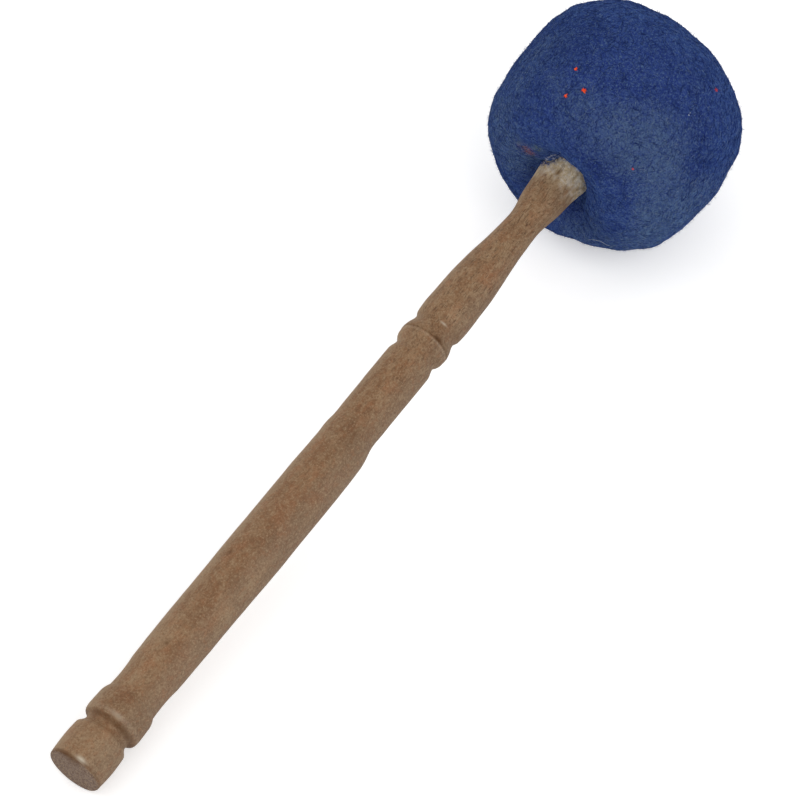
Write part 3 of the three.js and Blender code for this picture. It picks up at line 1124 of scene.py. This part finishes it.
def rim_height(outward):
    """How high the flats and lumps of the rim stand in a direction from the ball's middle."""
    bearing = math.atan2(-outward.dot(view_up), outward.dot(view_right)) % FULL_TURN
    place = bearing / FULL_TURN * len(RIM_HEIGHTS)
    before = int(place) % len(RIM_HEIGHTS)
    after = (before + 1) % len(RIM_HEIGHTS)
    height = RIM_HEIGHTS[before] + (RIM_HEIGHTS[after] - RIM_HEIGHTS[before]) * eased(place % 1, 0, 1)
    depth = math.asin(max(-1, min(1, outward.dot(view_forward) / outward.length)))
    return height * MM * bell(depth, RIM_REACH)


def on_wool(tree, pixel):
    return tree.ray_cast(camera_place, pixel_ray(pixel).normalized())


def wool_growth(point, outward, filled):
    """How far the wool stands proud of its true form at a point of the ball, seen outward from its middle."""
    growth = sum(height * noise.noise(point / length) for length, height in LUMPS)
    growth += sum(height * MM * bell((point - place).length, width) for place, width, height in filled)
    return growth + rim_height(outward)


def pressed(point):
    """The point kept on or above the floor."""
    return Vector((point.x, point.y, max(point.z, FLOOR_TOUCH)))


def cover_point(way, cavity, outside, ball):
    """Where a way out from the ball's middle meets the layer, and how far it is from the bore there."""
    polar = math.acos(max(-1, min(1, -way.y))) / math.pi
    if polar < CAVITY_SHARE:
        section = point_on(*cavity, polar / CAVITY_SHARE)
        outward_share = 0
    else:
        along = (polar - CAVITY_SHARE) / (1 - CAVITY_SHARE)
        section = point_on(*outside, along)
        outward_share = eased(along, *BORE_EASE)
    across = Vector((way.x, 0, way.z)).normalized()
    return ball.put(across * section.x + Vector((0, section.y, 0))), outward_share


def build_felt_cover(context):
    settings = context.scene.mallet
    ball = Ball(settings)
    cavity, outside = [(points, arc_lengths(points)) for points in cover_section(ball)]
    body = rounded_cube(FACE_CUTS)
    outward_share = {}
    for vert in body.verts:
        vert.co, outward_share[vert] = cover_point(vert.co, cavity, outside, ball)
    body.normal_update()
    bmesh.ops.recalc_face_normals(body, faces=body.faces)
    body.normal_update()
    filled = wool_places(BVHTree.FromBMesh(body), FILLED_PLACES)
    grown = {}
    for vert in body.verts:
        raised = outward_share[vert] * eased(vert.co.z, 0, PRESSED_HEIGHT)
        growth = wool_growth(vert.co, vert.co - ball.centre, filled) if raised else 0
        grown[vert] = pressed(ball.fitted(vert.co + vert.normal * growth * raised))
    for vert, co in grown.items():
        vert.co = co
    tree = BVHTree.FromBMesh(body)
    # Wear with painted light, and painted shade where the places are less than nothing.
    paint(body, "worn_and_lit", wool_places(tree, WORN_AND_LIT_PLACES), *WEAR_TEXTURE)
    paint(body, "rust", wool_places(tree, RUST_SMUDGE))
    paint(body, "olive", wool_places(tree, OLIVE_SMUDGE))
    materials = [felt_finish(settings.colours)]
    finished_piece("felt_cover_wool", body, materials, ["felt_cover"])


def wool_places(tree, rows):
    """The rows with their pixels turned into places on the wool."""
    return [(on_wool(tree, (x, y))[0], width * MM, strength) for x, y, width, strength in rows]


WEAR_LENGTH = 9 * MM
WEAR_TEXTURE = (0.35, 0.1)


def paint(body, name, places, texture_depth=0, texture_middle=0):
    """A layer that says how much of something there is at each point of the wool."""
    layer = body.verts.layers.float.new(name)
    for vert in body.verts:
        share = texture_depth * noise.noise(vert.co / WEAR_LENGTH) + texture_middle
        share += sum(depth * bell((vert.co - place).length, width) for place, width, depth in places)
        vert[layer] = min(1, max(0, share))


def build_felt_core(context):
    settings = context.scene.mallet
    ball = Ball(settings)
    head, sizes, glue = settings.head, settings.handle, settings.glue
    angles = [math.pi * (ring / CORE_RINGS - MIDDLE_SHARE) for ring in range(CORE_RINGS + 1)]
    socket = sizes.tenon_radius + 2 * head.fit_gap + glue.thickness
    seat = ball.wood_radius(ball.outline.end.y) + head.fit_gap
    form = [ball_section(head, head.cover_thickness, head.core_hollow_depth, a) for a in angles]
    form = [point for point in form if point.y > 0 or point.x > seat]
    seat_end = head.lip_in_felt + 2 * head.fit_gap + glue.thickness - head.mouth_to_centre
    socket_end = seat_end + sizes.tenon_length
    bore = [(0, socket_end), (socket, socket_end), (socket, seat_end), (seat, seat_end)]
    body = turned_body(bore + form, CORE_SIDES)
    for vert in body.verts:
        in_bore = Vector((vert.co.x, 0, vert.co.z)).length < seat + BORE_EDGE
        held = in_bore and vert.co.y < socket_end + BORE_EDGE
        growth = 0 if held else CORE_LUMP_HEIGHT * (noise.noise(vert.co / CORE_LUMP_LENGTH) - 1)
        vert.co = ball.put(vert.co + vert.co.normalized() * growth, held)
    materials = [core_finish(settings.colours)]
    finished_piece("felt_core_wool", body, materials, ["felt_core"])


# Fibres

FIBRE_POINTS = 5
FIBRE_TIP_SHARE = 0.35
FIBRE_SEAM = 0.001 * MM
FIBRE_RADIUS = 0.045 * MM
FIBRE_LIFT = 0.1 * MM
FIBRE_SINK_SHARE = 0.6
FIBRE_LOW_SHARE = 0.35
FIBRE_WAYWARDNESS = 0.6
FIBRE_BEND = 0.28
FIBRE_WOBBLE = 0.1
SWIRL_SEED = 7
SWIRL_LENGTH = 26 * MM
WORN_AND_LIT_LIKING = 1.6
RAY_START = 0.1
# Each kind of fibre: its name, seed, number, shortest and longest length and radius in mm, two shades, and
# how much it is liked where the worn_and_lit layer is low and where it is high; that layer is wear with
# painted light and shade.
FIBRE_KINDS = (
    ("fibres_dark", 11, 7000, 2, 5, 0.06, (20, 34, 88), (30, 47, 106), 1, 0.85),
    ("fibres_mid", 12, 7400, 1.5, 4.5, 0.055, (38, 57, 118), (58, 80, 146), 1, 1),
    ("fibres_pale", 13, 7400, 1, 3, 0.05, (58, 77, 136), (90, 110, 166), 0.4, 1),
    ("fibres_worn_and_lit", 15, 7400, 0.8, 2.4, 0.055, (64, 85, 124), (106, 124, 154), 0.1, 1),
    ("fibres_white", 14, 160, 1.5, 4, 0.035, (104, 122, 156), (136, 150, 176), 0.4, 1),
)
STRAY_SEED = 21
STRAY_FIBRES = 7400
STRAY_LENGTHS = (0.4, 1.2)
STRAY_RISE = 0.55
STRAY_LEAN = 0.8
STRAY_DROOP = 0.35
STRAY_ROOT = 0.1 * MM


def fibre_curve(name, paths, section):
    """Fibres as curves with the section drawn along them, narrowing to their tips."""
    curve = bpy.data.curves.new(name, "CURVE")
    curve.dimensions = "3D"
    curve.bevel_mode = "OBJECT"
    curve.bevel_object = section
    curve.use_fill_caps = True
    for path in paths:
        spline = curve.splines.new("POLY")
        spline.points.add(len(path) - 1)
        spline.points.foreach_set("co", [part for co in path for part in (*co, 1)])
        middle = (len(path) - 1) / 2
        for index, point in enumerate(spline.points):
            narrowing = (abs(index - middle) / middle) ** 3
            point.radius = 1 - (1 - FIBRE_TIP_SHARE) * narrowing
    return curve


def strands(name, paths, radius, material):
    """Fibres as thin three-sided tubes, joined in one piece."""
    ring = bpy.data.curves.new(name + "_section", "CURVE")
    corners = ring.splines.new("POLY")
    corners.points.add(2)
    for index, point in enumerate(corners.points):
        turn = FULL_TURN * index / 3
        point.co = (radius * math.cos(turn), radius * math.sin(turn), 0, 1)
    corners.use_cyclic_u = True
    section = linked(name + "_section", ring)
    holder = linked(name, fibre_curve(name, paths, section))
    graph = bpy.context.evaluated_depsgraph_get()
    mesh = bpy.data.meshes.new_from_object(holder.evaluated_get(graph))
    body = bmesh.new()
    body.from_mesh(mesh)
    bpy.data.meshes.remove(mesh)
    for item in (holder, section):
        curve = item.data
        bpy.data.objects.remove(item)
        bpy.data.curves.remove(curve)
    sewn(body, FIBRE_SEAM)
    finished_piece(name, body, [material])


def off_stick(point):
    """How far a point lies from the stick's axis."""
    local = straightened(point)
    return math.hypot(local.x, local.z)


def random_direction(chance):
    while True:
        way = Vector([chance.uniform(-1, 1) for _ in range(3)])
        if 0.1 < way.length < 1:
            return way.normalized()


class Wool:
    """The finished ball, to find places on and to lay fibres on."""

    def __init__(self, context):
        ball = Ball(context.scene.mallet)
        mesh = bpy.data.objects["felt_cover_wool"].data
        self.centre = ball.centre
        self.spacing = ball.wood_radius(ball.outline.end.y)
        self.tree = surface_of("felt_cover_wool")
        self.worn_and_lit = mesh.attributes["worn_and_lit"].data
        self.faces = mesh.polygons

    def anywhere(self, chance):
        """A place on the wool left to chance, and the way that it faces."""
        outward = random_direction(chance)
        return self.tree.ray_cast(self.centre + outward * RAY_START, -outward)[:2]

    def worn_and_lit_share(self, place):
        """How worn the wool is at a place, with its painted light and shade."""
        face = self.tree.find_nearest(place)[2]
        return self.worn_and_lit[self.faces[face].vertices[0]].value

    def laid_fibre(self, chance, length):
        """A fibre that lies on the wool, or None where it would run into the wood."""
        point, normal = self.anywhere(chance)
        if point is None:
            return None
        heading = noise.noise_vector(point / SWIRL_LENGTH) + random_direction(chance) * FIBRE_WAYWARDNESS
        bend = chance.gauss(0, FIBRE_BEND)
        step = length / (FIBRE_POINTS - 1)
        path = []
        for index in range(FIBRE_POINTS):
            if index in (0, FIBRE_POINTS - 1):
                height = -FIBRE_SINK_SHARE * FIBRE_LIFT
            else:
                height = FIBRE_LIFT * chance.uniform(FIBRE_LOW_SHARE, 1)
            path.append(pressed(point + normal * height))
            heading -= normal * heading.dot(normal)
            heading.normalize()
            heading += normal.cross(heading) * (bend + chance.gauss(0, FIBRE_WOBBLE))
            point, normal, _, _ = self.tree.find_nearest(point + heading.normalized() * step)
        return None if min(off_stick(place) for place in path) < self.spacing else path

    def laid_fibres(self, seed, number, lengths, fresh, worn_and_lit):
        """Fibres all over the wool, more of them where the liking for its wear and painted light is greater.
        """
        chance = random.Random(seed)
        paths = []
        while len(paths) < number:
            path = self.laid_fibre(chance, chance.uniform(*lengths))
            if path and chance.random() < fresh + (worn_and_lit - fresh) * min(1, WORN_AND_LIT_LIKING * self.worn_and_lit_share(path[0])):
                paths.append(path)
        return paths

    def stray_fibres(self):
        """Short ends that stand off the wool."""
        chance = random.Random(STRAY_SEED)
        paths = []
        while len(paths) < STRAY_FIBRES:
            point, normal = self.anywhere(chance)
            if off_stick(point) < self.spacing + MM:
                continue
            lean = random_direction(chance)
            length = chance.uniform(*STRAY_LENGTHS) * MM
            way = (normal * STRAY_RISE + lean * STRAY_LEAN).normalized()
            droop = random_direction(chance) * STRAY_DROOP
            path = [point - normal * STRAY_ROOT]
            for share in (1 / 3, 2 / 3, 1):
                path.append(point + (way + droop * share) * (length * share))
            paths.append([pressed(co) for co in path])
        return paths


def build_fibres(context):
    noise.seed_set(SWIRL_SEED)
    wool = Wool(context)
    for name, seed, number, shortest, longest, radius, shade, tip_shade, fresh, worn_and_lit in FIBRE_KINDS:
        paths = wool.laid_fibres(seed, number, (shortest * MM, longest * MM), fresh, worn_and_lit)
        strands(name, paths, radius * MM, fibre_finish(name, linear(*shade), linear(*tip_shade)))
    strands("fibres_stray", wool.stray_fibres(), FIBRE_RADIUS, bpy.data.materials["fibres_mid"])


# Flecks and loose fibres: a pixel of the photograph for each, and how wide it is in mm

RED_FLECKS = ((584, 91, 1.75), (576, 69, 1.1), (566, 96, 1.3))
DIM_FLECKS = ((716, 90, 1.5), (633, 169, 0.85))
RUST_TUFTS = ((527, 151, 1), (531, 154, 1))
OLIVE_TUFTS = ((538, 150, 1), (534, 155, 1))
PALE_FLECKS = ((689, 115, 0.5), (690, 113, 0.5))
LOOSE_FIBRE = ((588, 239), (595, 239.5), (601, 241), (605, 243.5), (608, 245), (611, 245.5))
LOOSE_LIFT = 0.15 * MM
FLECK_SEED = 31
TUFT_SHIFT_SHARE = 0.18
TUFT_RISE_SHARE = 0.45
TUFT_ROOT = 0.05 * MM
TUFT_CURL = 0.25


def tuft(tree, chance, pixel, width, number):
    """A knot of short fibres crossed over one another on the wool."""
    middle, normal, _, _ = on_wool(tree, pixel)
    paths = []
    for _ in range(number):
        way = random_direction(chance)
        way -= normal * way.dot(normal)
        way.normalize()
        shift = random_direction(chance) * width * TUFT_SHIFT_SHARE
        curl = normal.cross(way) * chance.uniform(-TUFT_CURL, TUFT_CURL)
        path = []
        for step in range(FIBRE_POINTS):
            share = step / (FIBRE_POINTS - 1) - MIDDLE_SHARE
            height = (MIDDLE_SHARE - abs(share)) * width * TUFT_RISE_SHARE - TUFT_ROOT
            along = (way + curl * share * 2) * (share * width)
            path.append(middle + shift + along + normal * height)
        paths.append(path)
    return paths


def tufts(tree, chance, spots, number):
    return [path for x, y, width in spots for path in tuft(tree, chance, (x, y), width * MM, number)]


def loose_fibre(tree):
    places = [on_wool(tree, pixel) for pixel in LOOSE_FIBRE]
    return [place + normal * LOOSE_LIFT for place, normal, _, _ in places]


def build_flecks(context):
    colours = context.scene.mallet.colours
    tree = surface_of("felt_cover_wool")
    chance = random.Random(FLECK_SEED)
    for name, finish, spots, number, radius, shade, tip_shade in (
        ("red_flecks", "red_wool", RED_FLECKS, 9, 0.15, colours.red_wool, linear(255, 104, 44)),
        ("dim_flecks", "dim_red_wool", DIM_FLECKS, 9, 0.09, linear(244, 84, 80), linear(190, 70, 84)),
        ("rust_fibres", "rust_wool", RUST_TUFTS, 5, 0.04, linear(148, 84, 74), colours.rust_wool),
        ("olive_fibres", "olive_wool", OLIVE_TUFTS, 5, 0.04, linear(86, 100, 88), colours.olive_wool),
        ("pale_fibres", "pale_wool", PALE_FLECKS, 3, 0.07, linear(165, 175, 190), linear(205, 210, 215)),
    ):
        paths = tufts(tree, chance, spots, number)
        if name == "pale_fibres":
            paths.append(loose_fibre(tree))
        strands(name, paths, radius * MM, fibre_finish(finish, shade, tip_shade))


MOUTH_SEED = 41
MOUTH_FIBRES = 420
MOUTH_REACHES = (0.4, 2)
MOUTH_SWING = 0.16
MOUTH_START = 1 * MM
# Pale wool drawn out of the glue on the far side of the mouth: a pixel of the photograph for each wisp
GLUED_WISPS = (
    (547, 158.5),
    (549, 156.5),
    (552, 155),
    (554, 158),
    (555, 154.5),
    (558, 155.5),
    (559, 158.5),
    (562, 158),
    (566, 160.5),
    (578, 169),
)
WISP_WIDTH = 1.4
WISP_STRANDS = 11


def mouth_fibre(ball, chance):
    turn = chance.uniform(0, FULL_TURN)
    reach = chance.uniform(*MOUTH_REACHES) * MM
    swing = chance.gauss(0, MOUTH_SWING)
    lip = ball.outline.end
    shift = ball.mouth_shift(lip.x * math.cos(turn), lip.x * math.sin(turn))
    path = []
    for step in range(FIBRE_POINTS):
        share = step / (FIBRE_POINTS - 1)
        station = min(ball.mouth + shift + MOUTH_START - reach * share, lip.y)
        lift = (0.4 - 0.2 * share + chance.uniform(-0.08, 0.08)) * MM
        angle = turn + swing * share
        radius = ball.outline.radius_at(station) + lift
        path.append(hand_turned(Vector((radius * math.cos(angle), station, radius * math.sin(angle)))))
    return path


def build_mouth_fibres(context):
    """Wool drawn out over the end of the wood and caught in its glue."""
    chance = random.Random(MOUTH_SEED)
    ball = Ball(context.scene.mallet)
    drawn = [mouth_fibre(ball, chance) for _ in range(MOUTH_FIBRES)]
    strands("mouth_fibres", drawn, FIBRE_RADIUS, bpy.data.materials["fibres_mid"])
    spots = [(*pixel, WISP_WIDTH) for pixel in GLUED_WISPS]
    wisps = tufts(surface_of("felt_cover_wool"), chance, spots, WISP_STRANDS)
    wisp_finish = fibre_finish("glued_wool", linear(134, 142, 176), linear(198, 202, 220))
    strands("glued_fibres", wisps, FIBRE_RADIUS, wisp_finish)


# Studio

FLOOR_SIDE = 6
FLOOR_GLOW = 0.35
LAMP_SIDE = 1.1
LAMP_PLACE = Vector((-0.25, -0.95, 0.9))
FILL_PLACE = Vector((-0.5, 0.95, 0.85))


def build_floor(settings):
    body = bmesh.new()
    bmesh.ops.create_grid(body, x_segments=1, y_segments=1, size=FLOOR_SIDE / 2)
    mesh = bpy.data.meshes.new("floor")
    body.to_mesh(mesh)
    body.free()
    floor = linked("floor", mesh)
    finish = Finish("pale_floor", 0.9, Specular_IOR_Level=0, Emission_Color=(1, 1, 1, 1))
    grain = finish.noise(finish.place(), 60 * MM, detail=2)
    finish.coloured(settings.studio.floor, (linear(248, 248, 248), grain, 0.3, 0.7))
    seen = finish.add("LightPath").outputs["Is Camera Ray"]
    glow = finish.maths("MULTIPLY", seen, FLOOR_GLOW)
    finish.feed(finish.surface.inputs["Emission Strength"], glow)
    mesh.materials.append(finish.material)


def build_sky(settings):
    world = bpy.data.worlds.new("studio")
    sky = Nodes(world)
    rays = sky.add("LightPath").outputs
    seen = sky.maths("MAXIMUM", rays["Is Camera Ray"], rays["Is Glossy Ray"])
    seen = sky.maths("MAXIMUM", seen, rays["Is Transmission Ray"])
    strength = sky.add("MapRange", Value=seen, To_Min=settings.studio.sky, To_Max=1).outputs["Result"]
    background = sky.tree.nodes["Background"]
    sky.feed(background.inputs["Color"], (1, 1, 1, 1))
    sky.feed(background.inputs["Strength"], strength)
    bpy.context.scene.world = world


def build_lamp(name, power, place):
    """A soft round lamp that points at the middle of the mallet."""
    light = bpy.data.lights.new(name, "AREA")
    light.shape = "DISK"
    light.size = LAMP_SIDE
    light.energy = power
    lamp = linked(name, light)
    lamp.location = place
    lamp.rotation_mode = "QUATERNION"
    lamp.rotation_quaternion = (-place).to_track_quat("-Z", "Y")


def build_camera():
    data = bpy.data.cameras.new("camera")
    data.sensor_width = SENSOR_WIDTH
    data.lens = SENSOR_WIDTH * FOCAL_PIXELS / IMAGE_SIDE
    camera = linked("camera", data)
    turn = Matrix((view_right, view_up, -view_forward)).transposed().to_4x4()
    camera.matrix_world = Matrix.Translation(camera_place) @ turn
    bpy.context.scene.camera = camera


# Operators

class MALLET_OT_handle(bpy.types.Operator):
    """Turn the handle"""

    bl_idname = "mallet.handle"
    bl_label = "Turned handle"

    def execute(self, context):
        build_handle(context)
        return {"FINISHED"}


class MALLET_OT_glue(bpy.types.Operator):
    """Cast the dried glue round the tenon and the lip"""

    bl_idname = "mallet.glue"
    bl_label = "Dried glue"

    def execute(self, context):
        build_glue(context)
        return {"FINISHED"}


class MALLET_OT_wool(bpy.types.Operator):
    """Felt the core and the dyed layer of the ball"""

    bl_idname = "mallet.wool"
    bl_label = "Felt ball"

    def execute(self, context):
        build_felt_core(context)
        build_felt_cover(context)
        return {"FINISHED"}


class MALLET_OT_fibres(bpy.types.Operator):
    """Lay loose fibres over the ball"""

    bl_idname = "mallet.fibres"
    bl_label = "Wool fibres"

    def execute(self, context):
        build_fibres(context)
        return {"FINISHED"}


class MALLET_OT_flecks(bpy.types.Operator):
    """Set the coloured flecks and the fibres at the ball's mouth"""

    bl_idname = "mallet.flecks"
    bl_label = "Flecks and loose ends"

    def execute(self, context):
        build_flecks(context)
        build_mouth_fibres(context)
        return {"FINISHED"}


class MALLET_OT_stage(bpy.types.Operator):
    """Set up the floor, the light and the camera"""

    bl_idname = "mallet.stage"
    bl_label = "Studio"

    def execute(self, context):
        settings = context.scene.mallet
        build_floor(settings)
        build_sky(settings)
        build_lamp("soft_lamp", settings.studio.lamp, LAMP_PLACE)
        build_lamp("fill_lamp", settings.studio.fill, FILL_PLACE)
        build_camera()
        context.scene.view_settings.view_transform = "Standard"
        return {"FINISHED"}


OPERATORS = (
    MALLET_OT_stage,
    MALLET_OT_handle,
    MALLET_OT_glue,
    MALLET_OT_wool,
    MALLET_OT_fibres,
    MALLET_OT_flecks,
)


class MALLET_PT_panel(bpy.types.Panel):
    """The mallet's steps and sizes"""

    bl_idname = "MALLET_PT_panel"
    bl_label = "Singing bowl mallet"
    bl_space_type = "VIEW_3D"
    bl_region_type = "UI"
    bl_category = "Mallet"

    def draw(self, context):
        settings = context.scene.mallet
        for operator in OPERATORS:
            self.layout.operator(operator.bl_idname)
        for group in (settings.handle, settings.head, settings.glue, settings.colours, settings.studio):
            box = self.layout.box()
            for key in group.bl_rna.properties.keys():
                if key not in ("rna_type", "name"):
                    box.prop(group, key)


CLASSES = (
    HandleSizes,
    HeadSizes,
    GlueSizes,
    MalletColours,
    StudioSettings,
    MalletSettings,
    *OPERATORS,
    MALLET_PT_panel,
)


def register():
    for item in CLASSES:
        bpy.utils.register_class(item)
    bpy.types.Scene.mallet = PointerProperty(type=MalletSettings)


def unregister():
    del bpy.types.Scene.mallet
    for item in reversed(CLASSES):
        bpy.utils.unregister_class(item)


def main():
    register()
    bpy.ops.mallet.stage()
    bpy.ops.mallet.handle()
    bpy.ops.mallet.glue()
    bpy.ops.mallet.wool()
    bpy.ops.mallet.fibres()
    bpy.ops.mallet.flecks()


if __name__ == "__main__":
    main()
